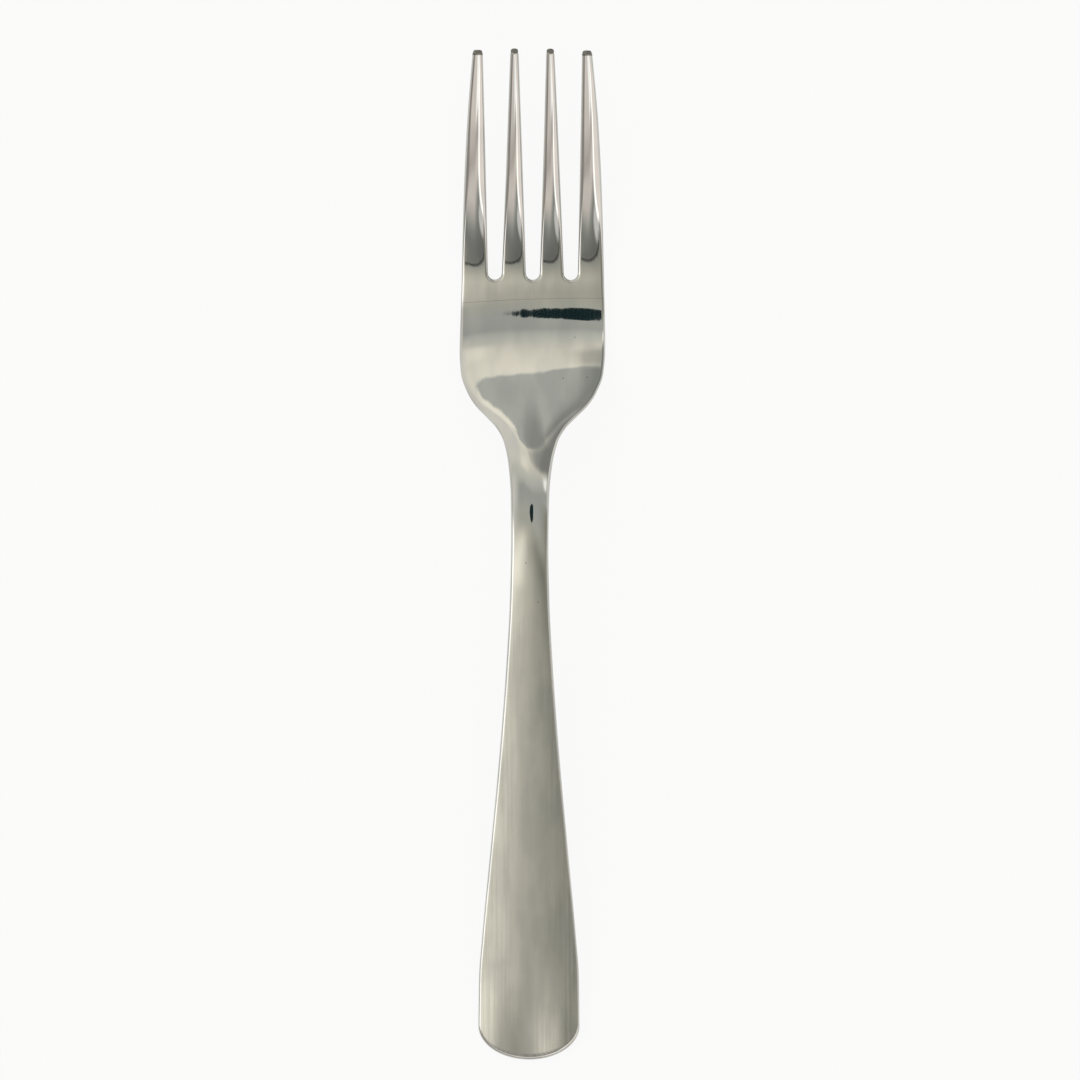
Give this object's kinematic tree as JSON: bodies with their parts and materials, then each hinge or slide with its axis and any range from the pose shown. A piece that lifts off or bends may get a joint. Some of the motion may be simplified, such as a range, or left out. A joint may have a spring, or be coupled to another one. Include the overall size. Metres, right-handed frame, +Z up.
{
  "type": "dinner fork",
  "caption": "Table fork with slim tapered tines on a rounded palm, an arched narrow neck and a flared handle with a rounded end.",
  "frame": {"origin": "bottom centre of the bounding box: on the table, under the middle of the fork's length", "axes": "+X across the fork to the right, +Y from the handle to the tips of the tines, +Z up from the table, with the tines curving up"},
  "size_m": [0.0262, 0.182, 0.0153],
  "materials": {
    "polished_steel": "polished, with fine marks along its length"
  },
  "bodies": {
    "root": {"fork": "polished_steel"}
  },
  "joints": []
}
